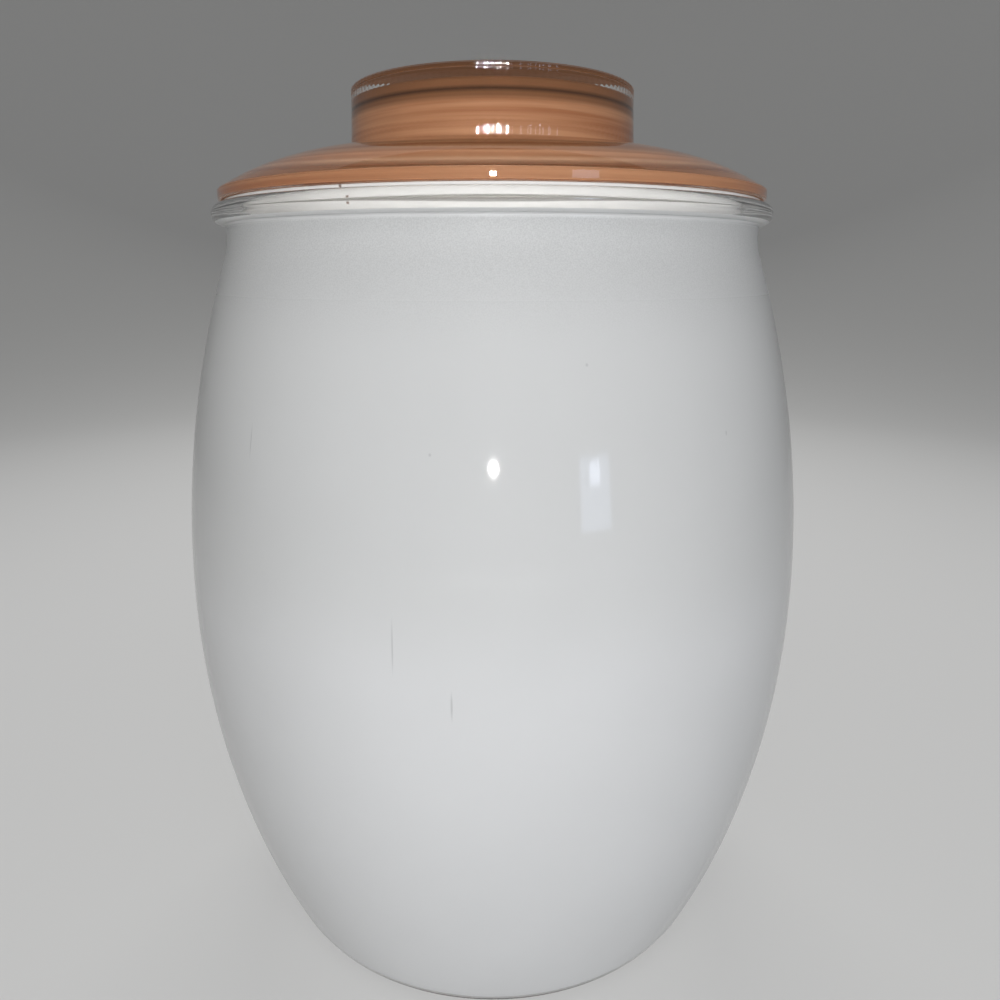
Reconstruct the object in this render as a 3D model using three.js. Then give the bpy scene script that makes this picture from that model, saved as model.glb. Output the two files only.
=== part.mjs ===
// A glass cookie jar: a barrel-shaped jar with a beaded mouth, a domed lid whose wide hollow knob is
// pressed in one piece with it, and the plastic gasket that seats the lid in the mouth.
// Millimetres, +Z up. The origin is on the surface that the jar stands on, under the middle of its foot.
import * as THREE from 'three';

// The jar's outside. Its side is two arcs that meet at the belly, where the wall is upright. The shoulder
// is where the upper arc ends, and a short bend takes it from there into the upright neck.
const bellyRadius = 90;
const bellyHeight = 101;
const footRadius = 69;
const heelFlare = 1.6;
const heelHeight = 3;
const shoulderHeight = 196;
const shoulderStep = 1.1;
const neckRadius = 72.8;
const neckHeight = 13.3;

// The jar's glass, its floor and the foot ring that it stands on.
const wall = 4;
const floorHeight = 7;
const floorRounding = 12;
const footRingWidth = 6;
const puntRise = 2;
const heelRounding = 1.6;

// The bead round the mouth.
const beadHeight = 5.1;
const beadReach = 3.5;
const mouthRounding = 1.6;

// The gasket: a flange on the bead, and a skirt between the mouth and the lid's plug. The skirt's face has
// one groove round it, which shows through the bead, and one fin low down, which centres it in the mouth.
const flangeThickness = 0.8;
const flangeInset = 3.3;
const skirtThickness = 1.9;
const skirtDepth = 7.8;
const grooveDrop = 1.65;
const grooveHeight = 0.6;
const grooveDepth = 0.7;
const finDrop = 5.85;
const finReach = 0.6;
const finRoot = 1.8;
const finTip = 0.8;

// The lid's edge, dome and plug.
const lidInset = 2;
const lidEdgeHeight = 2.5;
const lidEdgeRounding = 1.2;
const lidGlass = 4;
const domeRise = 10.2;
const plugWall = 4;
const plugDepth = 7;

// The knob on the lid. It is hollow from below, with a steep bevel between the hollow's side and its ceiling.
const knobFootRadius = 39;
const knobTaper = 0.6;
const knobHeight = 16.5;
const knobTopGlass = 2.4;
const knobWallAtFoot = 4.4;
const knobWallAtTop = 4.6;
const knobEdgeRounding = 1.5;
const bevelRise = 5.9;
const bevelWidth = 3;
const hollowRounding = 1.5;

// Clearances and small radii.
const fitClearance = 0.3;
const cornerRounding = 0.8;

// How finely curves are cut into straight pieces.
const facets = 48;
const arcStep = THREE.MathUtils.degToRad(36);
const sideSteps = 6;
const domeSteps = 5;
const bendSteps = 3;

// Radii that follow from the sizes above. The fin clears the mouth, the skirt carries the fin, the plug
// clears the skirt, and the flange and the lid end short of the bead's edge.
const heelRadius = footRadius + heelFlare;
const shoulderRadius = neckRadius + shoulderStep;
const mouthRadius = neckRadius - wall;
const beadRadius = neckRadius + beadReach;
const finRadius = mouthRadius - fitClearance;
const skirtOuter = finRadius - finReach;
const skirtInner = skirtOuter - skirtThickness;
const plugRadius = skirtInner - fitClearance;
const flangeRadius = beadRadius - flangeInset;
const lidRadius = beadRadius - lidInset;
const knobTopRadius = knobFootRadius - knobTaper;

// Heights that follow from the sizes above.
const rimHeight = shoulderHeight + neckHeight;
const beadBottom = rimHeight - beadHeight;
const seatHeight = rimHeight + flangeThickness;
const knobFootHeight = seatHeight + lidEdgeHeight + domeRise;
const knobTopHeight = knobFootHeight + knobHeight;

// Turns a list of corners [radius, height, rounding] into an outline. A corner with a rounding becomes an
// arc, which is made smaller where the edges beside it are too short for it.
function rounded(corners, closed = false) {
  const count = corners.length;
  const points = [];
  corners.forEach(([radius, height, rounding = 0], index) => {
    const corner = new THREE.Vector2(radius, height);
    if (rounding === 0) {
      points.push(corner);
      return;
    }
    const before = new THREE.Vector2(...corners[(index + count - 1) % count]).sub(corner);
    const after = new THREE.Vector2(...corners[(index + 1) % count]).sub(corner);
    const room = Math.min(before.length(), after.length()) / 2;
    before.normalize();
    after.normalize();
    const halfAngle = Math.acos(before.dot(after)) / 2;
    const reach = Math.min(rounding / Math.tan(halfAngle), room);
    const middle = before.clone().add(after).normalize();
    const centre = corner.clone().addScaledVector(middle, reach / Math.cos(halfAngle));
    const turn = Math.PI - 2 * halfAngle;
    const direction = -Math.sign(before.cross(after));
    const start = corner.clone().addScaledVector(before, reach);
    const steps = Math.ceil(turn / arcStep);
    for (let step = 0; step <= steps; step += 1) {
      points.push(start.clone().rotateAround(centre, (direction * turn * step) / steps));
    }
  });
  if (closed) points.push(points[0].clone());
  return points;
}

// Spins an outline of (radius, height) points round the Z axis into one named solid.
function turned(name, outline, material) {
  const geometry = new THREE.LatheGeometry(outline, facets);
  geometry.rotateX(Math.PI / 2);
  const mesh = new THREE.Mesh(geometry, material);
  mesh.name = name;
  return mesh;
}

// The circle that stands upright at the belly and passes through a given end of the jar's side.
function sideCircle(endRadius, endHeight) {
  const rise = endHeight - bellyHeight;
  const drop = bellyRadius - endRadius;
  const radius = (rise * rise + drop * drop) / (2 * drop);
  return { centre: new THREE.Vector2(bellyRadius - radius, bellyHeight), radius };
}

// Points on a circle between two angles, both ends included.
function arc(centre, radius, startAngle, endAngle, steps) {
  const points = [];
  for (let step = 0; step <= steps; step += 1) {
    const angle = startAngle + ((endAngle - startAngle) * step) / steps;
    points.push(new THREE.Vector2(centre.x + radius * Math.cos(angle), centre.y + radius * Math.sin(angle)));
  }
  return points;
}

// The bend from the leaning shoulder into an upright neck of the given radius. It is made shorter where
// the neck below the bead has no room for it.
function neckBend(shoulder, leanAngle, radius) {
  const room = beadBottom - cornerRounding - shoulder.y;
  const rise = Math.min((shoulder.x - radius) / Math.tan(leanAngle), room / 2);
  const corner = new THREE.Vector2(radius, shoulder.y + rise);
  const top = new THREE.Vector2(radius, corner.y + rise);
  return new THREE.QuadraticBezierCurve(shoulder, corner, top).getPoints(bendSteps).slice(1);
}

function jarOutline() {
  const lower = sideCircle(heelRadius, heelHeight);
  const upper = sideCircle(shoulderRadius, shoulderHeight);
  const heelAngle = Math.asin((heelHeight - bellyHeight) / lower.radius);
  const shoulderAngle = Math.asin((shoulderHeight - bellyHeight) / upper.radius);

  const footInnerRadius = footRadius - footRingWidth;
  const foot = rounded([
    [0, puntRise],
    [footInnerRadius - puntRise, puntRise, puntRise],
    [footInnerRadius, 0, cornerRounding],
    [footRadius, 0, heelRounding],
    [heelRadius, heelHeight],
  ]);

  const outsideLower = arc(lower.centre, lower.radius, heelAngle, 0, sideSteps).slice(1);
  const outsideUpper = arc(upper.centre, upper.radius, 0, shoulderAngle, sideSteps).slice(1);
  const neckOutside = neckBend(outsideUpper.at(-1), shoulderAngle, neckRadius);

  const beadRounding = beadHeight / 2;
  const bead = rounded([
    [neckRadius, neckOutside.at(-1).y],
    [neckRadius, beadBottom, cornerRounding],
    [beadRadius, beadBottom, beadRounding],
    [beadRadius, rimHeight, beadRounding],
    [mouthRadius, rimHeight, mouthRounding],
    [mouthRadius, neckOutside.at(-1).y],
  ]).slice(1, -1);

  const insideUpper = arc(upper.centre, upper.radius - wall, shoulderAngle, 0, sideSteps);
  const neckInside = neckBend(insideUpper[0], shoulderAngle, mouthRadius).reverse();

  // The floor's rounding touches the floor and the wall from the inside.
  const roundingHeight = floorHeight + floorRounding;
  const centreReach = lower.radius - wall - floorRounding;
  const wallAngle = Math.asin((roundingHeight - bellyHeight) / centreReach);
  const roundingRadius = lower.centre.x + centreReach * Math.cos(wallAngle);
  const roundingCentre = new THREE.Vector2(roundingRadius, roundingHeight);
  const insideLower = arc(lower.centre, lower.radius - wall, 0, wallAngle, sideSteps).slice(1);
  const floorCorner = arc(roundingCentre, floorRounding, wallAngle, -Math.PI / 2, bendSteps).slice(1);

  return [
    ...foot, ...outsideLower, ...outsideUpper, ...neckOutside, ...bead,
    ...neckInside, ...insideUpper, ...insideLower, ...floorCorner, new THREE.Vector2(0, floorHeight),
  ];
}

function gasketOutline() {
  const skirtBottom = rimHeight - skirtDepth;
  const finHeight = rimHeight - finDrop;
  const grooveTop = rimHeight - grooveDrop;
  return rounded([
    [skirtInner, seatHeight, cornerRounding + fitClearance],
    [skirtInner, skirtBottom],
    [skirtOuter, skirtBottom],
    [skirtOuter, finHeight - finRoot / 2],
    [finRadius, finHeight - finTip / 2],
    [finRadius, finHeight + finTip / 2],
    [skirtOuter, finHeight + finRoot / 2],
    [skirtOuter, grooveTop - grooveHeight],
    [skirtOuter - grooveDepth, grooveTop - grooveHeight / 2],
    [skirtOuter, grooveTop],
    [skirtOuter, rimHeight],
    [flangeRadius, rimHeight],
    [flangeRadius, seatHeight],
  ], true);
}

function lidOutline() {
  // The dome is level at the knob's foot and falls to the edge along one arc.
  const domeSpan = lidRadius - knobFootRadius;
  const domeRadius = (domeSpan * domeSpan + domeRise * domeRise) / (2 * domeRise);
  const domeCentre = new THREE.Vector2(knobFootRadius, knobFootHeight - domeRadius);
  const top = Math.PI / 2;
  const edgeAngle = Math.acos(domeSpan / domeRadius);
  const domeOutside = arc(domeCentre, domeRadius, top, edgeAngle, domeSteps).slice(1, -1);

  const knob = rounded([
    [0, knobTopHeight],
    [knobTopRadius, knobTopHeight, knobEdgeRounding],
    [knobFootRadius, knobFootHeight, cornerRounding],
    [domeOutside[0].x, domeOutside[0].y],
  ]).slice(0, -1);

  const plugBottom = seatHeight - plugDepth;
  const plugInner = plugRadius - plugWall;
  const insideRadius = domeRadius - lidGlass;
  const insideAngle = Math.acos((plugInner - domeCentre.x) / insideRadius);
  const domeInside = arc(domeCentre, insideRadius, insideAngle, top, domeSteps);
  const edge = rounded([
    [domeOutside.at(-1).x, domeOutside.at(-1).y],
    [lidRadius, seatHeight + lidEdgeHeight, lidEdgeRounding],
    [lidRadius, seatHeight, lidEdgeRounding],
    [plugRadius, seatHeight, cornerRounding],
    [plugRadius, plugBottom, cornerRounding],
    [plugInner, plugBottom, cornerRounding],
    [domeInside[0].x, domeInside[0].y],
  ]).slice(1, -1);

  const ceiling = knobTopHeight - knobTopGlass;
  const bevelRadius = knobTopRadius - knobWallAtTop;
  const hollow = rounded([
    [knobFootRadius, domeInside.at(-1).y],
    [knobFootRadius - knobWallAtFoot, domeInside.at(-1).y, cornerRounding],
    [bevelRadius, ceiling - bevelRise, hollowRounding],
    [bevelRadius - bevelWidth, ceiling, hollowRounding],
    [0, ceiling],
  ]).slice(1);

  return [...knob, ...domeOutside, ...edge, ...domeInside, ...hollow];
}

// White enamel sprayed over clear glass, copper lacquer behind clear glass, and white polyethylene.
const enamelledGlass = new THREE.MeshStandardMaterial({ color: 0xe8e7e4, roughness: 0.12, metalness: 0 });
const lacqueredGlass = new THREE.MeshStandardMaterial({ color: 0xb37a58, roughness: 0.15, metalness: 0 });
const gasketPlastic = new THREE.MeshStandardMaterial({ color: 0xf2f0ec, roughness: 0.5, metalness: 0 });

const cookieJar = new THREE.Group();
cookieJar.add(turned('jar_body', jarOutline(), enamelledGlass));
cookieJar.add(turned('gasket', gasketOutline(), gasketPlastic));
cookieJar.add(turned('lid', lidOutline().reverse(), lacqueredGlass));

export default cookieJar;
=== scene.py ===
# %% [markdown]
# # A glass cookie jar with a copper lid
#
# The jar is a barrel of clear glass with white enamel sprayed on its outside. Its lid is one piece of clear
# pressed glass, a dome with a wide hollow knob, and is painted with copper lacquer on its inside. A soft
# white gasket sits between them and shows through the clear bead round the mouth.
#
# All three pieces are round, so each is an outline that is spun about the Z axis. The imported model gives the
# overall sizes, and each spun piece stands for the plainer solid of the same name in that model.

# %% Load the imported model
import math

import bpy
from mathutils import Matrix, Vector


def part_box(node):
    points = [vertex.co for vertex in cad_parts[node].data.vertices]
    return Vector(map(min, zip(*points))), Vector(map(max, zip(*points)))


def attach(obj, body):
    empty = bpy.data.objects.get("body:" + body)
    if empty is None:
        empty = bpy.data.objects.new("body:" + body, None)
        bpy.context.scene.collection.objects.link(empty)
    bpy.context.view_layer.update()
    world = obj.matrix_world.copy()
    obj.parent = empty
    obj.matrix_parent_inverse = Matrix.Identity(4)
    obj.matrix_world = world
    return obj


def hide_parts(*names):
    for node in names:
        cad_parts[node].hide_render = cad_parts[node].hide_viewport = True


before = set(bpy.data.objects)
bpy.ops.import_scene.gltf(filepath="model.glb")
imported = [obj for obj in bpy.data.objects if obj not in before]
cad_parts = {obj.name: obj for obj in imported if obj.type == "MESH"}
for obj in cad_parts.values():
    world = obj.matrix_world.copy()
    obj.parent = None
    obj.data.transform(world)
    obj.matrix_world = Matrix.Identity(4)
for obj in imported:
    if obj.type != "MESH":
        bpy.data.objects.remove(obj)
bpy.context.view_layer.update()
MM = 0.001

# %% [markdown]
# ## Sizes
#
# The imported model's boxes give the overall sizes, and the pieces and the edges of their finishes follow them.
# The sizes of the glass itself, such as wall, bead, plug and knob, stand with each piece.

# %% Sizes from the frame
jar_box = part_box("jar_body")[1]
gasket_low, gasket_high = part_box("gasket")
lid_low, lid_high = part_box("lid")
belly_radius = jar_box.x
rim_height = jar_box.z
flange_radius = gasket_high.x
seat_height = gasket_high.z
skirt_bottom = gasket_low.z
lid_radius = lid_high.x
plug_bottom = lid_low.z
knob_top = lid_high.z
corner_rounding = 0.8 * MM
print("belly", round(belly_radius / MM, 2), "rim", round(rim_height / MM, 2), "top", round(knob_top / MM, 2))

# %% [markdown]
# ## Camera
#
# The photograph was taken from close by, a little below the lid's level. A single camera was fitted to the
# outline of the jar and to the rings of its rim, knob and foot. A real lens is written in millimetres on a
# 36 mm sensor. The camera is tipped down towards the middle of the jar.

# %% Place the camera
SENSOR = 36.0
LENS = 28.8
EYE_DISTANCE = 242.1 * MM
EYE_HEIGHT = 193.4 * MM
EYE_TIP = math.radians(16.15)
EYE_TURN = math.radians(0.48)
NEAREST = 10 * MM

camera_data = bpy.data.cameras.new("camera")
camera_data.sensor_width = SENSOR
camera_data.lens = LENS
camera_data.clip_start = NEAREST
camera = bpy.data.objects.new("camera", camera_data)
camera.location = (0, -EYE_DISTANCE, EYE_HEIGHT)
camera.rotation_euler = (math.pi / 2 - EYE_TIP, 0, -EYE_TURN)
bpy.context.scene.collection.objects.link(camera)
bpy.context.scene.camera = camera
bpy.context.scene.view_settings.view_transform = "Standard"
print("camera", [round(c, 4) for c in camera.location], "lens", LENS)

# %% [markdown]
# ## Colours and nodes
#
# Colours are given as sRGB hex values. A renderer adds up light in linear values, so one function
# turns a hex value to linear. One more adds a node, sets it up and links it, and each material below is then
# a short list of such calls.

# %% Helpers for materials
def linear(hex_colour):
    """An sRGB colour such as "c0ffee" as the linear RGBA that shader sockets take."""
    channels = [int(hex_colour[i:i + 2], 16) / 255 for i in (0, 2, 4)]
    return [c / 12.92 if c <= 0.04045 else ((c + 0.055) / 1.055) ** 2.4 for c in channels] + [1.0]


def node(tree, kind, inputs=(), **settings):
    """Adds a node. Inputs are (socket name or number, value or output to link) pairs."""
    made = tree.nodes.new("ShaderNode" + kind)
    for name, value in settings.items():
        setattr(made, name, value)
    for socket, value in inputs:
        if isinstance(value, bpy.types.NodeSocket):
            tree.links.new(value, made.inputs[socket])
        else:
            made.inputs[socket].default_value = value
    return made


def new_material(name):
    """An empty node material and its tree."""
    made = bpy.data.materials.new(name)
    made.use_nodes = True
    made.node_tree.nodes.clear()
    return made, made.node_tree


def per_mm(size):
    """The noise scale whose features are this many millimetres wide."""
    return 1 / (size * MM)


print("the hex grey 808080 is", round(linear("808080")[0], 3), "in linear light")

# %% [markdown]
# ## Clear pressed glass
#
# Soda-lime glass, pressed hot in an iron mould. The skin chills against the mould, so it is smooth to the
# touch but not optically flat, and reflections wander a little over a centimetre or so. Lamps are small and
# far away, and rays from a lamp that bend through glass are hard for a path tracer to find. So for shadow
# rays alone the glass is plainly see-through, which lets the lamps light the lacquer and gasket behind it.

# %% Clear glass
GLASS_IOR = 1.52
GLASS_ROUGHNESS = 0.015
GLASS_TINT = "fdfdfc"
MOULD_WAVE_MM = 14
MOULD_WAVE_DEPTH = 0.006 * MM

clear_glass, tree = new_material("clear_pressed_glass")
place = node(tree, "TexCoord").outputs["Object"]
wave = node(tree, "TexNoise", [("Vector", place), ("Scale", per_mm(MOULD_WAVE_MM)), ("Detail", 1.0)])
mould_skin = node(tree, "Bump", [("Height", wave.outputs["Fac"]), ("Distance", MOULD_WAVE_DEPTH)])
glass = node(tree, "BsdfPrincipled", [
    ("Base Color", linear(GLASS_TINT)), ("Roughness", GLASS_ROUGHNESS), ("IOR", GLASS_IOR),
    ("Transmission Weight", 1.0), ("Normal", mould_skin.outputs["Normal"]),
])
see_through = node(tree, "BsdfTransparent", [("Color", linear(GLASS_TINT))])
shadow_ray = node(tree, "LightPath").outputs["Is Shadow Ray"]
either = node(tree, "MixShader", [
    (0, shadow_ray), (1, glass.outputs["BSDF"]), (2, see_through.outputs["BSDF"]),
])
node(tree, "OutputMaterial", [("Surface", either.outputs["Shader"])])
print("made", clear_glass.name)

# %% [markdown]
# ## White enamel
#
# The white is a glass enamel, sprayed on and baked. It flows out to a hard gloss with a faint orange peel,
# a ripple of about two millimetres. Low down on the belly the white is lighter. On the shoulder the spray
# fell at a slant and landed half dry, so the coat is thinner, greyer, grainy and less glossy there; right
# under the bead it is glossy again, and its colour is lightened there as painted light against the shade
# under the bead. The coat is a few hundredths of a millimetre thick, so a little light comes through it, and
# the wall behind it and the clear bead look pale instead of black. Years of handling left a few hairline
# scratches and specks.
#
# It could be a thin shell round the glass, but two surfaces that close together are hard to render. So it is
# a finish on the jar's own outer faces, and the height of a point sets the colour and gloss of the coat there.

# %% Values of the enamel
ENAMEL_WHITE = "e7e8e8"
# A lighter white low down on the belly.
LOWER_BELLY_WHITE = "f0f1f2"
THIN_COAT = "d2d3d3"
# Painted light: the white under the bead is lightened against the shade under the bead.
UNDER_BEAD_PAINTED_LIGHT = "fdfefe"
WORN_THROUGH = "c8c9ca"
LIGHT_THROUGH = 0.14
ENAMEL_IOR = 1.5
GLOSS_ROUGHNESS = 0.06
DRY_ROUGHNESS = 0.46
ORANGE_PEEL_MM = 2.2
ORANGE_PEEL_DEPTH = 0.0025 * MM
DRY_GRAIN_MM = 0.3
DRY_GRAIN_DEPTH = 0.005 * MM
DRY_FROM = 174 * MM
DRY_TO = 199 * MM
# Under the bead the enamel is glossy, and its colour is painted lighter there.
UNDER_BEAD_FROM = rim_height - 6.1 * MM
UNDER_BEAD_TO = rim_height - 5.5 * MM
LOWER_WHITE_FROM = 130 * MM
LOWER_WHITE_TO = 104 * MM
CLOUD_MM = 38
CLOUD_THINNING = 0.12
# Noise keeps to the middle of its range, so the part between these two values is stretched.
GRAIN_RANGE = 0.34, 0.66
CLOUD_RANGE = 0.3, 0.7
GRAIN_THINNING = 0.15, 0.85
GRAIN_MIX = 0.6
# Each mark is azimuth to the right of the front in degrees, then height, half length and half width in mm.
WORN_MARKS = [
    (-40.2, 156, 5.0, 0.30), (-14.0, 116, 8.0, 0.28), (-5.8, 103, 4.5, 0.34),
    (-8.8, 157, 0.5, 0.45), (38.2, 158, 0.8, 0.4), (13.7, 174.5, 0.5, 0.5),
    (74, 122, 6.0, 0.30), (121, 88, 7.0, 0.28), (160, 140, 0.6, 0.5),
    (-101, 133, 5.0, 0.30), (-148, 70, 6.5, 0.30),
]
MARK_RADIUS_MM = 87
MARK_CORE = 0.2
MARK_STRENGTH = 0.6
print("enamel is dry from", round(DRY_FROM / MM, 1), "and pooled from", round(UNDER_BEAD_FROM / MM, 1))

# %% Worn marks on the enamel
white_enamel, tree = new_material("white_glass_enamel")
place = node(tree, "TexCoord").outputs["Object"]
axes = node(tree, "SeparateXYZ", [(0, place)]).outputs
front = node(tree, "Math", [(0, axes["Y"]), (1, -1.0)], operation="MULTIPLY")
azimuth = node(tree, "Math", [(0, axes["X"]), (1, front.outputs[0])], operation="ARCTAN2").outputs[0]

worn = 0.0
for degrees, height, half_length, half_width in WORN_MARKS:
    across = node(tree, "Math", [
        (0, azimuth), (1, MARK_RADIUS_MM / half_width),
        (2, -math.radians(degrees) * MARK_RADIUS_MM / half_width),
    ], operation="MULTIPLY_ADD")
    along = node(tree, "Math", [
        (0, axes["Z"]), (1, per_mm(half_length)), (2, -height / half_length),
    ], operation="MULTIPLY_ADD")
    offset = node(tree, "CombineXYZ", [("X", across.outputs[0]), ("Y", along.outputs[0])])
    distance = node(tree, "VectorMath", [(0, offset.outputs[0])], operation="LENGTH").outputs["Value"]
    mark = node(tree, "MapRange", [
        ("Value", distance), ("From Min", 1.0), ("From Max", MARK_CORE), ("To Max", MARK_STRENGTH),
    ], interpolation_type="SMOOTHSTEP").outputs["Result"]
    worn = node(tree, "Math", [(0, worn), (1, mark)], operation="MAXIMUM").outputs[0]
print("worn marks:", len(WORN_MARKS))

# %% Zones and colour of the enamel
dry = node(tree, "MapRange", [
    ("Value", axes["Z"]), ("From Min", DRY_FROM), ("From Max", DRY_TO),
], interpolation_type="SMOOTHSTEP").outputs["Result"]
gloss_and_painted_light = node(tree, "MapRange", [
    ("Value", axes["Z"]), ("From Min", UNDER_BEAD_FROM), ("From Max", UNDER_BEAD_TO),
]).outputs["Result"]
dry = node(tree, "Math", [(0, dry), (1, gloss_and_painted_light)], operation="SUBTRACT", use_clamp=True).outputs[0]
low = node(tree, "MapRange", [
    ("Value", axes["Z"]), ("From Min", LOWER_WHITE_FROM), ("From Max", LOWER_WHITE_TO),
], interpolation_type="SMOOTHSTEP").outputs["Result"]
grain = node(tree, "TexNoise", [
    ("Vector", place), ("Scale", per_mm(DRY_GRAIN_MM)), ("Detail", 2.0), ("Roughness", GRAIN_MIX),
]).outputs["Fac"]
peel = node(tree, "TexNoise", [("Vector", place), ("Scale", per_mm(ORANGE_PEEL_MM)), ("Detail", 1.0)])
cloud = node(tree, "TexNoise", [
    ("Vector", place), ("Scale", per_mm(CLOUD_MM)), ("Detail", 2.0),
]).outputs["Fac"]
thin_grain = node(tree, "MapRange", [
    ("Value", grain), ("From Min", GRAIN_RANGE[0]), ("From Max", GRAIN_RANGE[1]),
    ("To Min", GRAIN_THINNING[0]), ("To Max", GRAIN_THINNING[1]),
]).outputs["Result"]
thin_patch = node(tree, "MapRange", [
    ("Value", cloud), ("From Min", CLOUD_RANGE[0]), ("From Max", CLOUD_RANGE[1]), ("To Max", CLOUD_THINNING),
]).outputs["Result"]
thin_top = node(tree, "Math", [(0, thin_grain), (1, dry)], operation="MULTIPLY").outputs[0]
thinness = node(tree, "Math", [(0, thin_top), (1, thin_patch)], operation="ADD", use_clamp=True).outputs[0]
coat = node(tree, "Mix", [
    (0, low), (6, linear(ENAMEL_WHITE)), (7, linear(LOWER_BELLY_WHITE)),
], data_type="RGBA").outputs[2]
# Painted light: the white under the bead is lightened.
coat = node(tree, "Mix", [(0, gloss_and_painted_light), (6, coat), (7, linear(UNDER_BEAD_PAINTED_LIGHT))], data_type="RGBA").outputs[2]
coat = node(tree, "Mix", [(0, thinness), (6, coat), (7, linear(THIN_COAT))], data_type="RGBA").outputs[2]
worn_coat = node(tree, "Mix", [(0, worn), (6, coat), (7, linear(WORN_THROUGH))], data_type="RGBA").outputs[2]
print("enamel colours:", ENAMEL_WHITE, LOWER_BELLY_WHITE, UNDER_BEAD_PAINTED_LIGHT, THIN_COAT, WORN_THROUGH)

# %% White enamel
enamel_roughness = node(tree, "MapRange", [
    ("Value", dry), ("To Min", GLOSS_ROUGHNESS), ("To Max", DRY_ROUGHNESS),
]).outputs["Result"]
peel_bump = node(tree, "Bump", [("Height", peel.outputs["Fac"]), ("Distance", ORANGE_PEEL_DEPTH)])
grain_bump = node(tree, "Bump", [
    ("Strength", dry), ("Height", grain), ("Distance", DRY_GRAIN_DEPTH),
    ("Normal", peel_bump.outputs["Normal"]),
])
enamel = node(tree, "BsdfPrincipled", [
    ("Base Color", worn_coat), ("Roughness", enamel_roughness), ("IOR", ENAMEL_IOR),
    ("Normal", grain_bump.outputs["Normal"]),
])
seen_through = node(tree, "BsdfTranslucent", [("Color", worn_coat)])
thin_layer = node(tree, "MixShader", [
    (0, LIGHT_THROUGH), (1, enamel.outputs["BSDF"]), (2, seen_through.outputs["BSDF"]),
])
node(tree, "OutputMaterial", [("Surface", thin_layer.outputs["Shader"])])
print("made", white_enamel.name)

# %% [markdown]
# ## Copper lacquer
#
# The lid was painted on its inside while it turned on a wheel, so the lacquer lies in rings, thicker and
# thinner every millimetre or two, and each ring runs on for most of a turn. It is seen through the glass. It
# holds a little copper-coloured flake, and it has no gloss of its own there. High up in the knob's hollow the
# colour is a dark brown, painted shade, with a darker line of painted shade across it; on the plug it is a
# pale colour, painted light where the lamps bring little light.
#
# A painted picture could show the rings, but it would have to be fitted to the lid. Noise that is laid out by
# radius, height and turn needs no fitting, and it is sharp from close by.

# %% Rings of the lacquer
LACQUER_LIGHT = "d09a72"
LACQUER_DARK = "b4774f"
# Painted shade: the dark brown high up in the knob's hollow.
CEILING_SHADE_COLOUR = "8f6140"
# Painted shade: a darker line across the hollow's ceiling.
SHADE_LINE_COLOUR = "4a2e1b"
# Painted light: the pale colour on the plug.
PLUG_LIGHT_COLOUR = "fad2ac"
# Where the painted shade in the hollow, its darker line and the painted light on the plug lie.
CEILING_SHADE_FROM = knob_top - 7.9 * MM
CEILING_SHADE_TO = knob_top - 6.7 * MM
SHADE_LINE_HEIGHT = knob_top - 5.2 * MM
SHADE_LINE_HALF_WIDTH = 0.9 * MM
PLUG_LIGHT_FROM = seat_height + 1.3 * MM
PLUG_LIGHT_TO = seat_height - 0.5 * MM
PLUG_LIGHT_REACH = 66.4 * MM
LACQUER_METAL = 0.15
LACQUER_ROUGHNESS = 0.55
ROUGHNESS_SWING = 0.1
BRUSH_RING_MM = 1.5
BRUSH_TURN = 0.5
RING_MIX = 0.55
RING_RANGE = 0.36, 0.64

copper_lacquer, tree = new_material("copper_lacquer")
place = node(tree, "TexCoord").outputs["Object"]
flat = node(tree, "VectorMath", [(0, place), (1, (1, 1, 0))], operation="MULTIPLY").outputs["Vector"]
radius = node(tree, "VectorMath", [(0, flat)], operation="LENGTH").outputs["Value"]
heading = node(tree, "VectorMath", [(0, flat)], operation="NORMALIZE").outputs["Vector"]
turn = node(tree, "VectorMath", [(0, heading), ("Scale", BRUSH_TURN)], operation="SCALE").outputs["Vector"]
turn_axes = node(tree, "SeparateXYZ", [(0, turn)]).outputs
height = node(tree, "SeparateXYZ", [(0, place)]).outputs["Z"]
ring_radius = node(tree, "Math", [(0, radius), (1, per_mm(BRUSH_RING_MM))], operation="MULTIPLY").outputs[0]
ring_height = node(tree, "Math", [(0, height), (1, per_mm(BRUSH_RING_MM))], operation="MULTIPLY").outputs[0]
ring_place = node(tree, "CombineXYZ", [
    ("X", ring_radius), ("Y", ring_height), ("Z", turn_axes["X"]),
]).outputs[0]
rings = node(tree, "TexNoise", [
    ("Vector", ring_place), ("W", turn_axes["Y"]), ("Scale", 1.0), ("Detail", 3.0), ("Roughness", RING_MIX),
], noise_dimensions="4D").outputs["Fac"]
ring_shade = node(tree, "MapRange", [
    ("Value", rings), ("From Min", RING_RANGE[0]), ("From Max", RING_RANGE[1]),
]).outputs["Result"]
lacquer_colour = node(tree, "Mix", [
    (0, ring_shade), (6, linear(LACQUER_DARK)), (7, linear(LACQUER_LIGHT)),
], data_type="RGBA").outputs[2]
print("lacquer rings of", BRUSH_RING_MM, "mm")

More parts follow.
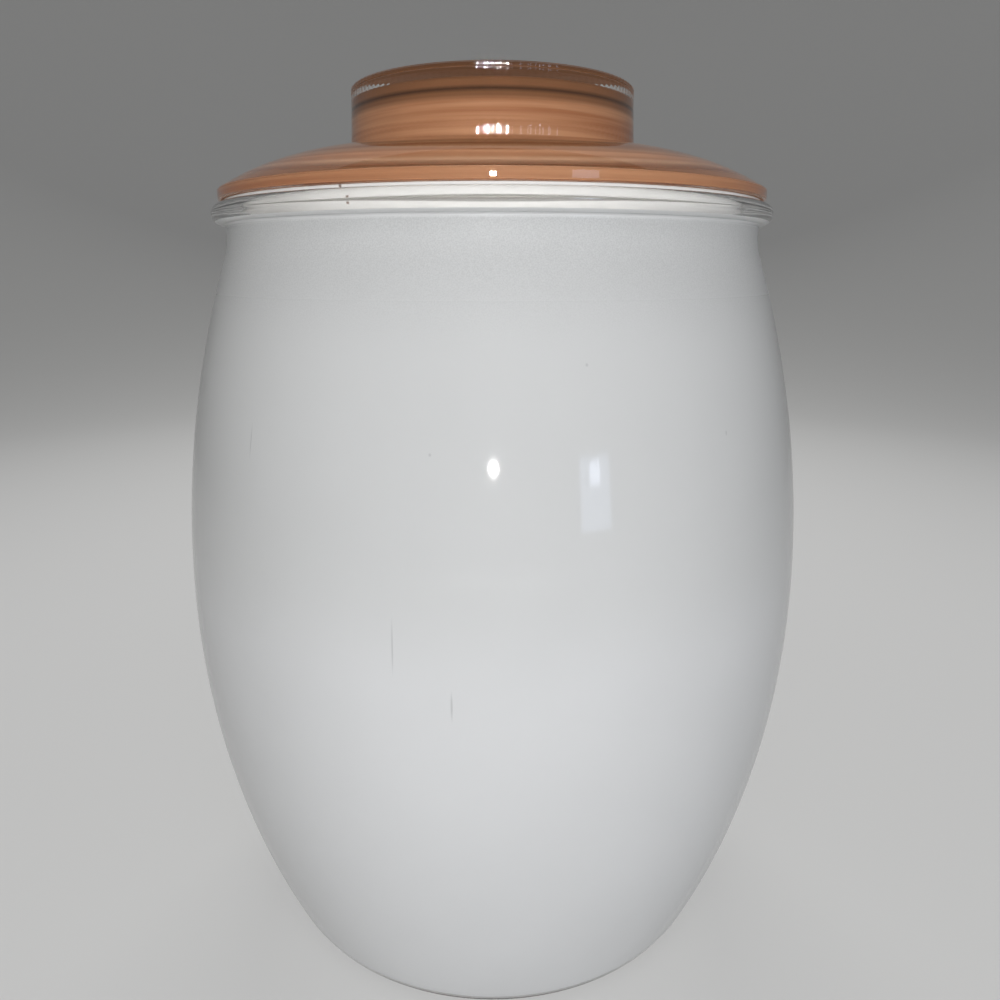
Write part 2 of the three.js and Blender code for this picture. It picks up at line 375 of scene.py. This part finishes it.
# %% Copper lacquer
# Painted shade high in the hollow and along a line, and painted light on the plug.
ceiling_shade = node(tree, "MapRange", [
    ("Value", height), ("From Min", CEILING_SHADE_FROM), ("From Max", CEILING_SHADE_TO),
]).outputs["Result"]
from_shade_line = node(tree, "Math", [(0, height), (1, SHADE_LINE_HEIGHT)], operation="SUBTRACT").outputs[0]
from_shade_line = node(tree, "Math", [(0, from_shade_line)], operation="ABSOLUTE").outputs[0]
in_shade_line = node(tree, "MapRange", [("Value", from_shade_line), ("From Min", SHADE_LINE_HALF_WIDTH), ("From Max", 0.0)])
plug_light = node(tree, "MapRange", [
    ("Value", height), ("From Min", PLUG_LIGHT_FROM), ("From Max", PLUG_LIGHT_TO),
])
on_plug = node(tree, "Math", [(0, radius), (1, PLUG_LIGHT_REACH)], operation="LESS_THAN")
plug_light = node(tree, "Math", [
    (0, plug_light.outputs["Result"]), (1, on_plug.outputs[0]),
], operation="MULTIPLY")
plug_lit_colour = node(tree, "Mix", [
    (0, plug_light.outputs[0]), (6, lacquer_colour), (7, linear(PLUG_LIGHT_COLOUR)),
], data_type="RGBA").outputs[2]
ceiling_shaded_colour = node(tree, "Mix", [
    (0, ceiling_shade), (6, plug_lit_colour), (7, linear(CEILING_SHADE_COLOUR)),
], data_type="RGBA").outputs[2]
lacquer_colour = node(tree, "Mix", [
    (0, in_shade_line.outputs["Result"]), (6, ceiling_shaded_colour), (7, linear(SHADE_LINE_COLOUR)),
], data_type="RGBA").outputs[2]
lacquer_roughness = node(tree, "MapRange", [
    ("Value", rings),
    ("To Min", LACQUER_ROUGHNESS + ROUGHNESS_SWING), ("To Max", LACQUER_ROUGHNESS - ROUGHNESS_SWING),
]).outputs["Result"]
lacquer = node(tree, "BsdfPrincipled", [
    ("Base Color", lacquer_colour), ("Metallic", LACQUER_METAL), ("Roughness", lacquer_roughness),
])
node(tree, "OutputMaterial", [("Surface", lacquer.outputs["BSDF"])])
print("made", copper_lacquer.name)

# %% [markdown]
# ## Gasket polyethylene
#
# The gasket is soft polyethylene, moulded in a ring. It is milky white and satin, with fine turning marks
# from the mould. The groove round its skirt is coloured a darker grey as painted shade. A little dirt sits in
# spots along the seam where the two streams of plastic met in the mould. The dirt could be painted by hand,
# but here it is placed by its height above the groove, so it follows the rim if a size changes.

# %% Seam of the gasket
POLYETHYLENE_WHITE = "f8f6f4"
SEAM_DIRT = "8a7468"
# Painted shade: the darker grey in the groove round the skirt.
GROOVE_SHADE_GREY = "c4c1bd"
GROOVE_MIDDLE = rim_height - 2.06 * MM
GROOVE_REACH = 0.34 * MM
GROOVE_FACE = 67.75 * MM
# Each spot of dirt on the seam is its height above the groove and half its own height, in millimetres.
SEAM_SPOTS = [(-0.26, 0.18), (0.3, 0.18), (2.46, 0.4)]
POLYETHYLENE_IOR = 1.51
POLYETHYLENE_ROUGHNESS = 0.42
TOOL_MARK_MM = 0.5
TOOL_MARK_DEPTH = 0.008 * MM
SEAM_AZIMUTH = math.radians(-25.5)
SEAM_HALF_WIDTH = 0.2 * MM
SPOT_HALF_WIDTH = 0.45 * MM
SPOT_CORE_WIDTH = 0.18 * MM
SPOT_CORE = 0.3

gasket_plastic, tree = new_material("white_polyethylene")
place = node(tree, "TexCoord").outputs["Object"]
axes = node(tree, "SeparateXYZ", [(0, place)]).outputs
seam_across = (math.cos(SEAM_AZIMUTH), math.sin(SEAM_AZIMUTH), 0)
seam_outward = (math.sin(SEAM_AZIMUTH), -math.cos(SEAM_AZIMUTH), 0)
aside = node(tree, "VectorMath", [(0, place), (1, seam_across)], operation="DOT_PRODUCT").outputs["Value"]
outward = node(tree, "VectorMath", [(0, place), (1, seam_outward)], operation="DOT_PRODUCT").outputs["Value"]
aside = node(tree, "Math", [(0, aside)], operation="ABSOLUTE").outputs[0]
in_seam = node(tree, "MapRange", [
    ("Value", aside), ("From Min", SPOT_HALF_WIDTH), ("From Max", SPOT_CORE_WIDTH),
]).outputs["Result"]
this_side = node(tree, "Math", [(0, outward), (1, 0.0)], operation="GREATER_THAN").outputs[0]
from_groove = node(tree, "Math", [(0, axes["Z"]), (1, GROOVE_MIDDLE)], operation="SUBTRACT").outputs[0]
in_spot = 0.0
for above_groove, half_height in SEAM_SPOTS:
    from_spot = node(tree, "Math", [
        (0, from_groove), (1, per_mm(half_height)), (2, -above_groove / half_height),
    ], operation="MULTIPLY_ADD").outputs[0]
    from_spot = node(tree, "Math", [(0, from_spot)], operation="ABSOLUTE").outputs[0]
    spot = node(tree, "MapRange", [("Value", from_spot), ("From Min", 1.0), ("From Max", SPOT_CORE)])
    in_spot = node(tree, "Math", [
        (0, in_spot), (1, spot.outputs["Result"]),
    ], operation="MAXIMUM").outputs[0]
dirty = node(tree, "Math", [(0, in_seam), (1, this_side)], operation="MULTIPLY").outputs[0]
dirty = node(tree, "Math", [(0, dirty), (1, in_spot)], operation="MULTIPLY").outputs[0]
print("seam spots:", len(SEAM_SPOTS))

# %% Gasket polyethylene
flat = node(tree, "VectorMath", [(0, place), (1, (1, 1, 0))], operation="MULTIPLY").outputs["Vector"]
radius = node(tree, "VectorMath", [(0, flat)], operation="LENGTH").outputs["Value"]
# Painted shade in the groove round the skirt.
inward = node(tree, "MapRange", [
    ("Value", radius), ("From Min", GROOVE_FACE), ("From Max", GROOVE_FACE - GROOVE_REACH),
]).outputs["Result"]
from_groove = node(tree, "Math", [(0, from_groove)], operation="ABSOLUTE").outputs[0]
level = node(tree, "Math", [(0, from_groove), (1, GROOVE_REACH)], operation="LESS_THAN").outputs[0]
groove_shade = node(tree, "Math", [(0, inward), (1, level)], operation="MULTIPLY").outputs[0]
white_with_groove_shade = node(tree, "Mix", [
    (0, groove_shade), (6, linear(POLYETHYLENE_WHITE)), (7, linear(GROOVE_SHADE_GREY)),
], data_type="RGBA").outputs[2]
plastic_colour = node(tree, "Mix", [
    (0, dirty), (6, white_with_groove_shade), (7, linear(SEAM_DIRT)),
], data_type="RGBA").outputs[2]
tool_place = node(tree, "CombineXYZ", [("Z", axes["Z"])]).outputs[0]
tool_marks = node(tree, "TexNoise", [
    ("Vector", tool_place), ("Scale", per_mm(TOOL_MARK_MM)), ("Detail", 2.0),
])
tool_bump = node(tree, "Bump", [("Height", tool_marks.outputs["Fac"]), ("Distance", TOOL_MARK_DEPTH)])
plastic = node(tree, "BsdfPrincipled", [
    ("Base Color", plastic_colour), ("Roughness", POLYETHYLENE_ROUGHNESS), ("IOR", POLYETHYLENE_IOR),
    ("Normal", tool_bump.outputs["Normal"]),
])
node(tree, "OutputMaterial", [("Surface", plastic.outputs["BSDF"])])
print("made", gasket_plastic.name)

# %% [markdown]
# ## Outlines
#
# A spun piece needs only its outline, a list of (radius, height) points. Arcs and rounded corners are cut
# into short straight steps. Smooth shading blends the facing of neighbouring faces, so each rounded corner
# gets one more point a hair along the flats beside it, and the flats then shade as flats.

# %% Helpers for outlines
CORNER_STEP = math.radians(15)
LONGEST_STEP = 2.5 * MM
CORNER_HOLD = 0.1 * MM
SAME_POINT = 0.001 * MM


def arc(centre, radius, start, end):
    """Points on a circle between two angles, both ends included."""
    turn = abs(end - start)
    steps = max(2, math.ceil(turn * radius / LONGEST_STEP), math.ceil(turn / CORNER_STEP))
    angles = [start + (end - start) * step / steps for step in range(steps + 1)]
    return [centre + radius * Vector((math.cos(angle), math.sin(angle))) for angle in angles]


def rounded(*corners):
    """An outline through corners of (radius, height) or (radius, height, rounding)."""
    places = [Vector(corner[:2]) for corner in corners]
    points = []
    for index, corner in enumerate(corners):
        here = places[index]
        if len(corner) == 2:
            points.append(here)
            continue
        back = places[index - 1] - here
        ahead = places[(index + 1) % len(places)] - here
        room = min(back.length, ahead.length) / 2
        back.normalize()
        ahead.normalize()
        half = math.acos(max(-1, min(1, back.dot(ahead)))) / 2
        reach = min(corner[2] / math.tan(half), room)
        middle = (back + ahead).normalized()
        centre = here + middle * reach / math.cos(half)
        start, end = here + back * reach - centre, here + ahead * reach - centre
        first = math.atan2(start.y, start.x)
        sweep = math.remainder(math.atan2(end.y, end.x) - first, 2 * math.pi)
        hold = reach + min(CORNER_HOLD, room - reach)
        points.append(here + back * hold)
        points += arc(centre, reach * math.tan(half), first, first + sweep)
        points.append(here + ahead * hold)
    return points


def cut_fine(points, longest):
    """The same outline with no step longer than this."""
    fine = points[:1]
    for point in points[1:]:
        start = fine[-1]
        steps = max(1, math.ceil((point - start).length / longest))
        fine += [start.lerp(point, step / steps) for step in range(1, steps + 1)]
    return fine


print("outline steps of at most", LONGEST_STEP / MM, "mm, or", round(math.degrees(CORNER_STEP)), "degrees")

# %% [markdown]
# ## Spinning an outline
#
# Blender's Screw modifier can spin an outline too, but it gives the whole piece one finish and the same
# outline all round, so here the mesh is built face by face. Each stretch of an outline carries the finish
# that its faces get. Points on the axis become one vertex, and a ring-shaped outline closes on itself. An
# optional shape can draw a point in towards the axis at some angles, which makes ribs and notches.

# %% Spin an outline into a piece
def spun(name, stretches, angles, drawn_in=None, closed=False, longest=LONGEST_STEP):
    """Spins [(material, points)...] about the Z axis into one object."""
    finishes = list(dict.fromkeys(finish for finish, _ in stretches))
    outline, band_finish = [], []
    for finish, points in stretches:
        for point in cut_fine(points, longest):
            if not outline or (point - outline[-1]).length > SAME_POINT:
                outline.append(point)
                band_finish.append(finishes.index(finish))
    if closed and (outline[0] - outline[-1]).length <= SAME_POINT:
        outline.pop()

    vertices, rings = [], []
    for radius, height in outline:
        if radius < SAME_POINT:
            rings.append([len(vertices)] * len(angles))
            vertices.append((0, 0, height))
            continue
        rings.append(range(len(vertices), len(vertices) + len(angles)))
        for angle in angles:
            reach = radius - (drawn_in(radius, height, angle) if drawn_in else 0)
            vertices.append((reach * math.sin(angle), -reach * math.cos(angle), height))

    faces, face_finish = [], []
    for index in range(len(rings) if closed else len(rings) - 1):
        after = (index + 1) % len(rings)
        for turn in range(len(angles)):
            beside = (turn + 1) % len(angles)
            corners = rings[index][turn], rings[index][beside], rings[after][beside], rings[after][turn]
            faces.append(list(dict.fromkeys(corners)))
            face_finish.append(band_finish[after])

    mesh = bpy.data.meshes.new(name)
    mesh.from_pydata(vertices, [], faces)
    for finish in finishes:
        mesh.materials.append(finish)
    mesh.polygons.foreach_set("material_index", face_finish)
    mesh.polygons.foreach_set("use_smooth", [True] * len(faces))
    mesh.validate()
    mesh.update()
    piece = bpy.data.objects.new(name, mesh)
    bpy.context.scene.collection.objects.link(piece)
    print("made", name, "with", len(faces), "faces")
    return piece


def full_turn(count):
    """Evenly spaced angles round the axis."""
    return [2 * math.pi * step / count for step in range(count)]


# %% [markdown]
# ## The jar
#
# The side is two arcs that meet upright at the belly. A short bend takes the shoulder into the neck, and the
# bead rolls out above it. The enamel covers the outside from the heel to the underside of the bead. The rest
# of the bead, the mouth, the inside and the foot ring are bare glass. The jar could be shaped by hand from a
# cylinder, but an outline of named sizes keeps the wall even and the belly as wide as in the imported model.

# %% Sizes of the jar
belly_height = 101 * MM
foot_radius = 69 * MM
heel_flare = 1.6 * MM
heel_height = 3 * MM
heel_rounding = 1.6 * MM
foot_ring_width = 6 * MM
punt_rise = 2 * MM
shoulder_height = 196 * MM
shoulder_step = 1.1 * MM
neck_radius = 72.8 * MM
wall = 4 * MM
floor_height = 7 * MM
floor_rounding = 12 * MM
bead_height = 5.1 * MM
bead_reach = 3.5 * MM
mouth_rounding = 1.6 * MM
mouth_radius = neck_radius - wall
BEND_STEPS = 6
JAR_TURNS = 256
ENAMEL_EDGE = math.radians(-47)
print("mouth", round(2 * mouth_radius / MM, 1), "mm wide")


# %% Curves of the jar's side
def side_circle(end_radius, end_height):
    """Centre and radius of the circle that is upright at the belly and passes through an end of the side."""
    rise = end_height - belly_height
    drop = belly_radius - end_radius
    radius = (rise * rise + drop * drop) / (2 * drop)
    return Vector((belly_radius - radius, belly_height)), radius


def neck_bend(shoulder, lean, radius):
    """A curve from the leaning shoulder into an upright neck of this radius."""
    rise = (shoulder.x - radius) / math.tan(lean)
    corner = Vector((radius, shoulder.y + rise))
    top = Vector((radius, corner.y + rise))
    shares = [step / BEND_STEPS for step in range(BEND_STEPS + 1)]
    return [shoulder.lerp(corner, t).lerp(corner.lerp(top, t), t) for t in shares]


heel_radius = foot_radius + heel_flare
lower_centre, lower_radius = side_circle(heel_radius, heel_height)
upper_centre, upper_radius = side_circle(neck_radius + shoulder_step, shoulder_height)
heel_lean = math.asin((heel_height - belly_height) / lower_radius)
shoulder_lean = math.asin((shoulder_height - belly_height) / upper_radius)
foot_inner = foot_radius - foot_ring_width
bead_bottom = rim_height - bead_height
bead_radius = neck_radius + bead_reach
bead_centre = Vector((bead_radius - bead_height / 2, bead_bottom + bead_height / 2))
print("side curves of", round(lower_radius / MM), "and", round(upper_radius / MM), "mm")

# %% Spin the jar
foot = rounded(
    (0, punt_rise), (foot_inner - punt_rise, punt_rise, punt_rise), (foot_inner, 0, corner_rounding),
    (foot_radius, 0, heel_rounding), (heel_radius, heel_height),
)
outside = arc(lower_centre, lower_radius, heel_lean, 0) + arc(upper_centre, upper_radius, 0, shoulder_lean)
outside += neck_bend(outside[-1], shoulder_lean, neck_radius)
outside += rounded(
    outside[-1], (neck_radius, bead_bottom, corner_rounding), (bead_centre.x, bead_bottom),
)
outside += arc(bead_centre, bead_height / 2, -math.pi / 2, ENAMEL_EDGE)
bead = arc(bead_centre, bead_height / 2, ENAMEL_EDGE, math.pi / 2)
bead += rounded(bead[-1], (mouth_radius, rim_height, mouth_rounding), (mouth_radius, bead_bottom))
inside = arc(upper_centre, upper_radius - wall, 0, shoulder_lean)
inside += neck_bend(inside[-1], shoulder_lean, mouth_radius)
inside.reverse()
rounding_height = floor_height + floor_rounding
rounding_reach = lower_radius - wall - floor_rounding
floor_lean = math.asin((rounding_height - belly_height) / rounding_reach)
rounding_centre = Vector((lower_centre.x + rounding_reach * math.cos(floor_lean), rounding_height))
inside += arc(lower_centre, lower_radius - wall, 0, floor_lean)
inside += arc(rounding_centre, floor_rounding, floor_lean, -math.pi / 2) + [Vector((0, floor_height))]

jar_shell = spun("jar_shell", [
    (clear_glass, foot), (white_enamel, outside), (clear_glass, bead + inside),
], full_turn(JAR_TURNS))
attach(jar_shell, "jar")
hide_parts("jar_body")

# %% [markdown]
# ## The lid
#
# The dome is level at the knob's foot and falls to the edge along one arc. The knob has a lip at the top, a
# fine groove and a narrow band under it, and a waist just above the dome. Lip, band and waist lean out a few
# degrees towards the top and carry the grip ribs, which fade out between them. The ribs are what makes the
# knob sparkle, and a bump in the material would leave its outline smooth. So they are cut in the mesh: four
# vertices for each rib, with the radius drawn in between the crests. The knob's hollow ends in a steep bevel
# and a flat ceiling.

# %% Sizes of the lid
lid_edge_height = 2.5 * MM
lid_edge_rounding = 0.6 * MM
lid_edge_draft = math.radians(1.0)
lid_glass = 4 * MM
dome_rise = 10.2 * MM
plug_radius = 65.7 * MM
plug_wall = 4 * MM
knob_foot_radius = 39 * MM
knob_taper = 0.6 * MM
knob_height = 16.5 * MM
knob_top_glass = 2.4 * MM
knob_wall_at_foot = 4.4 * MM
knob_wall_at_top = 4.6 * MM
bevel_rise = 5.9 * MM
bevel_width = 3 * MM
hollow_rounding = 1.5 * MM
lip_height = 1.0 * MM
lip_rounding = 0.4 * MM
lip_lean = math.radians(5.4)
groove_depth = 0.3 * MM
groove_height = 0.3 * MM
groove_rounding = 0.06 * MM
band_height = 0.6 * MM
waist_height = 2.6 * MM
waist_lean = math.radians(3.05)
waist_rounding = 0.4 * MM
foot_fillet = 0.5 * MM
RIBS = 120
RIB_STEPS = 4
rib_depth = 0.145 * MM
rib_fade_top = 3.4 * MM
rib_fade_foot = 0.5 * MM
print("knob", round(2 * knob_foot_radius / MM, 1), "mm wide with", RIBS, "ribs")

# %% Curves and ribs of the lid
knob_top_radius = knob_foot_radius - knob_taper
knob_foot = knob_top - knob_height
lip_foot = knob_top - lip_height
band_top = lip_foot - groove_height
band_foot = band_top - band_height
dome_span = lid_radius - knob_foot_radius
dome_radius = (dome_span * dome_span + dome_rise * dome_rise) / (2 * dome_rise)
dome_centre = Vector((knob_foot_radius, knob_foot - dome_radius))
dome_edge = math.acos(dome_span / dome_radius)
plug_inner = plug_radius - plug_wall
inside_radius = dome_radius - lid_glass
inside_edge = math.acos((plug_inner - dome_centre.x) / inside_radius)
ceiling = knob_top - knob_top_glass
bevel_radius = knob_top_radius - knob_wall_at_top
waist = knob_foot + waist_height
waist_radius = knob_foot_radius - knob_taper * waist_height / knob_height


def rib_shape(radius, height, angle):
    """How far a point on the knob's side is drawn in between two ribs."""
    if radius < knob_top_radius - lip_rounding or not knob_foot < height < knob_top:
        return 0
    upper = (height - band_foot) / rib_fade_top + 1
    lower = (waist - height) / rib_fade_foot + 1
    fade = max(0, min(1, max(upper, lower)))
    return rib_depth * fade * (1 - math.cos(RIBS * angle)) / 2


print("dome radius", round(dome_radius / MM, 1), "mm")

# %% Spin the lid
dome_outside = arc(dome_centre, dome_radius, math.pi / 2, dome_edge)
dome_inside = arc(dome_centre, inside_radius, inside_edge, math.pi / 2)
knob = rounded(
    (0, knob_top), (knob_top_radius, knob_top, lip_rounding),
    (knob_top_radius - lip_height * math.tan(lip_lean), lip_foot, groove_rounding),
    (knob_top_radius - groove_depth, (lip_foot + band_top) / 2, groove_rounding),
    (knob_top_radius, band_top, groove_rounding),
    (knob_top_radius - band_height * math.tan(lip_lean), band_foot, groove_rounding),
    (waist_radius, waist, waist_rounding),
    (waist_radius - waist_height * math.tan(waist_lean), knob_foot, foot_fillet), dome_outside[1],
)
edge = rounded(
    dome_outside[-2], (lid_radius, seat_height + lid_edge_height, lid_edge_rounding),
    (lid_radius - lid_edge_height * math.tan(lid_edge_draft), seat_height, lid_edge_rounding),
    (plug_radius, seat_height),
)
underside = rounded(
    edge[-2], (plug_radius, seat_height, corner_rounding), (plug_radius, plug_bottom, corner_rounding),
    (plug_inner, plug_bottom, corner_rounding), dome_inside[0],
) + dome_inside[1:]
hollow = rounded(
    dome_inside[-1], (knob_foot_radius - knob_wall_at_foot, dome_inside[-1].y, corner_rounding),
    (bevel_radius, ceiling - bevel_rise, hollow_rounding),
    (bevel_radius - bevel_width, ceiling, hollow_rounding), (0, ceiling),
)

lid_inside = underside + hollow
lid_outside = knob[:-1] + dome_outside[1:-1] + edge[:-1]
lid_inside.reverse()
lid_outside.reverse()
lid_outline = [(copper_lacquer, lid_inside), (clear_glass, lid_outside)]
lid_shell = spun("lid_shell", lid_outline, full_turn(RIBS * RIB_STEPS), rib_shape)
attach(lid_shell, "cover")
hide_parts("lid")

# %% [markdown]
# ## The gasket
#
# A flange lies on the bead under the lid, and a skirt hangs between the plug and the mouth. Round the skirt's
# face runs one groove, and a fin low down centres the skirt in the mouth. The bead is a strong lens: it shows
# the groove upside down and several times as high, as a thin dark line, so the groove itself is very fine.
# The flange is drawn a hair thinner than the gap it fills, because two surfaces in exactly the same place
# can't be told apart in a render. A notch crosses the flange and the fin at the seam.

# %% Sizes of the gasket
fit_clearance = 0.3 * MM
skirt_thickness = 1.9 * MM
skirt_groove_drop = 1.93 * MM
skirt_groove_height = 0.26 * MM
skirt_groove_depth = 0.7 * MM
skirt_groove_rounding = 0.05 * MM
fin_drop = 5.85 * MM
fin_root = 1.8 * MM
fin_tip = 0.8 * MM
fin_rounding = 0.2 * MM
flange_relief = 0.03 * MM
notch_depth = 0.5 * MM
GASKET_TURNS = 240
SEAM_STEPS = (-1.6, -1.0, -0.5, 0, 0.5, 1.0, 1.6)

skirt_inner = plug_radius + fit_clearance
skirt_outer = skirt_inner + skirt_thickness
fin_radius = mouth_radius - fit_clearance
groove_top = rim_height - skirt_groove_drop
groove_foot = groove_top - skirt_groove_height
fin_height = rim_height - fin_drop
flange_top = seat_height - flange_relief
flange_bottom = rim_height + flange_relief
print("skirt", round(skirt_inner / MM, 2), "to", round(skirt_outer / MM, 2), "mm from the axis")


# %% Spin the gasket
def seam_notch(radius, height, angle):
    """How far the flange and the fin are drawn in at the seam."""
    aside = math.remainder(angle - SEAM_AZIMUTH, 2 * math.pi) * radius
    depth = notch_depth * max(0, 1 - abs(aside) / SEAM_HALF_WIDTH)
    return min(depth, max(0, radius - skirt_outer))


gasket_outline = rounded(
    (skirt_inner, flange_top, corner_rounding + fit_clearance), (flange_radius, flange_top, fin_rounding),
    (flange_radius, flange_bottom, fin_rounding), (skirt_outer, flange_bottom, fin_rounding),
    (skirt_outer, groove_top, skirt_groove_rounding),
    (skirt_outer - skirt_groove_depth, (groove_top + groove_foot) / 2, skirt_groove_rounding),
    (skirt_outer, groove_foot, skirt_groove_rounding),
    (skirt_outer, fin_height + fin_root / 2, fin_rounding),
    (fin_radius, fin_height + fin_tip / 2, fin_rounding),
    (fin_radius, fin_height - fin_tip / 2, fin_rounding),
    (skirt_outer, fin_height - fin_root / 2, fin_rounding),
    (skirt_outer, skirt_bottom, fin_rounding), (skirt_inner, skirt_bottom, fin_rounding),
)
gasket_outline.append(gasket_outline[0])
gasket_outline.reverse()
seam_angles = [SEAM_AZIMUTH + step * SEAM_HALF_WIDTH / fin_radius for step in SEAM_STEPS]
turn_angles = [
    angle for angle in full_turn(GASKET_TURNS)
    if abs(math.remainder(angle - SEAM_AZIMUTH, 2 * math.pi)) > math.pi / GASKET_TURNS
]
gasket_angles = sorted(angle % (2 * math.pi) for angle in turn_angles + seam_angles)
gasket_ring = spun("gasket_ring", [(gasket_plastic, gasket_outline)], gasket_angles, seam_notch, closed=True)
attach(gasket_ring, "seal")
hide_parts("gasket")

# %% [markdown]
# ## Floor and light
#
# A white thing needs a background that isn't white, so the floor is a pale grey that sweeps up all round into
# a darker backdrop. It gives a little light of its own to camera, glossy and transmission rays alone, so it
# is seen at that grey and the object's shadow still falls on it. The light in the photograph came from close
# to the camera, so a tall key lamp and a low fill stand behind the camera and let the sides fall off. A small
# spark between them makes the compact highlights, and two bluish panes on the right make the reflection of a
# window. The other lamps show no reflection. One from above in front lights the dome, and one from behind
# the back.

# %% Paper of the floor
FLOOR_GREY = "8c8c8a"
WHITE_LIGHT = "ffffff"
NEAR_GLOW = 0.39
FAR_GLOW = 0.15
NEAR_REACH = 0.25
FAR_REACH = 1.3
PAPER_TOOTH_MM = 1.5
PAPER_TOOTH_DEPTH = 0.02 * MM

floor_paper, tree = new_material("pale_grey_paper")
paper_place = node(tree, "TexCoord").outputs["Object"]
paper_tooth = node(tree, "TexNoise", [
    ("Vector", paper_place), ("Scale", per_mm(PAPER_TOOTH_MM)), ("Detail", 2.0),
])
paper_bump = node(tree, "Bump", [("Height", paper_tooth.outputs["Fac"]), ("Distance", PAPER_TOOTH_DEPTH)])
paper = node(tree, "BsdfDiffuse", [("Color", linear(FLOOR_GREY)), ("Normal", paper_bump.outputs["Normal"])])
seen = node(tree, "LightPath").outputs
seen_first = node(tree, "Math", [(0, seen["Is Camera Ray"]), (1, seen["Is Glossy Ray"])], operation="MAXIMUM")
seen_any = node(tree, "Math", [
    (0, seen_first.outputs[0]), (1, seen["Is Transmission Ray"]),
], operation="MAXIMUM")
paper_reach = node(tree, "VectorMath", [(0, paper_place)], operation="LENGTH").outputs["Value"]
paper_glow = node(tree, "MapRange", [
    ("Value", paper_reach), ("From Min", NEAR_REACH), ("From Max", FAR_REACH),
    ("To Min", NEAR_GLOW), ("To Max", FAR_GLOW),
], interpolation_type="SMOOTHSTEP").outputs["Result"]
glow_strength = node(tree, "Math", [(0, seen_any.outputs[0]), (1, paper_glow)], operation="MULTIPLY")
glow = node(tree, "Emission", [("Color", linear(WHITE_LIGHT)), ("Strength", glow_strength.outputs[0])])
both = node(tree, "AddShader", [(0, paper.outputs["BSDF"]), (1, glow.outputs["Emission"])])
node(tree, "OutputMaterial", [("Surface", both.outputs["Shader"])])
print("made", floor_paper.name)

# %% Floor and backdrop
floor_gap = 0.05 * MM
flat_reach = 0.9
sweep_radius = 0.6
backdrop_height = 1.6
SWEEP_TURNS = 96
LONGEST_FLOOR_STEP = 60 * MM

sweep_centre = Vector((flat_reach, sweep_radius - floor_gap))
sweep = [Vector((0, -floor_gap))] + arc(sweep_centre, sweep_radius, -math.pi / 2, 0)
sweep.append(Vector((flat_reach + sweep_radius, backdrop_height)))
floor = spun("floor", [(floor_paper, sweep)], full_turn(SWEEP_TURNS), longest=LONGEST_FLOOR_STEP)

# %% Lamps
LAMP_AIM = Vector((0, 0, 120 * MM))
WINDOW_BLUE = "cfe0ff"
WINDOW_PALE = "e2ecff"
AIR_GLOW = 0.04


def area_lamp(name, place, size, watts, colour=WHITE_LIGHT, mirrored=True):
    """A soft rectangular lamp. It isn't seen by the camera or through glass, only by what it lights."""
    data = bpy.data.lights.new(name, "AREA")
    data.shape = "RECTANGLE"
    data.size, data.size_y = size
    data.energy = watts
    data.color = linear(colour)[:3]
    lamp = bpy.data.objects.new(name, data)
    lamp.location = place
    lamp.rotation_euler = (LAMP_AIM - lamp.location).to_track_quat("-Z", "Y").to_euler()
    lamp.visible_camera = False
    lamp.visible_transmission = False
    lamp.visible_glossy = mirrored
    bpy.context.scene.collection.objects.link(lamp)
    return lamp


area_lamp("key_lamp", place=(0, -0.98, 0.38), size=(0.36, 0.5), watts=3.95, mirrored=False)
area_lamp("low_lamp", place=(0, -0.9, 0.085), size=(0.6, 0.1), watts=1.2, mirrored=False)
area_lamp("spark_lamp", place=(0, -0.93, 0.265), size=(0.035, 0.018), watts=0.9)
area_lamp("window_lamp", place=(0.56, -0.85, 0.185), size=(0.18, 0.2), watts=0.3, colour=WINDOW_BLUE)
area_lamp("window_core", place=(0.54, -0.82, 0.235), size=(0.06, 0.06), watts=0.07, colour=WINDOW_PALE)
area_lamp("top_lamp", place=(0, -0.55, 0.8), size=(0.6, 0.3), watts=1.0, mirrored=False)
area_lamp("back_lamp", place=(0, 0.95, 0.75), size=(0.7, 0.45), watts=6.0, mirrored=False)
world = bpy.data.worlds.new("studio_air")
world.use_nodes = True
air = world.node_tree.nodes["Background"].inputs
air["Color"].default_value = linear(WHITE_LIGHT)
air["Strength"].default_value = AIR_GLOW
bpy.context.scene.world = world
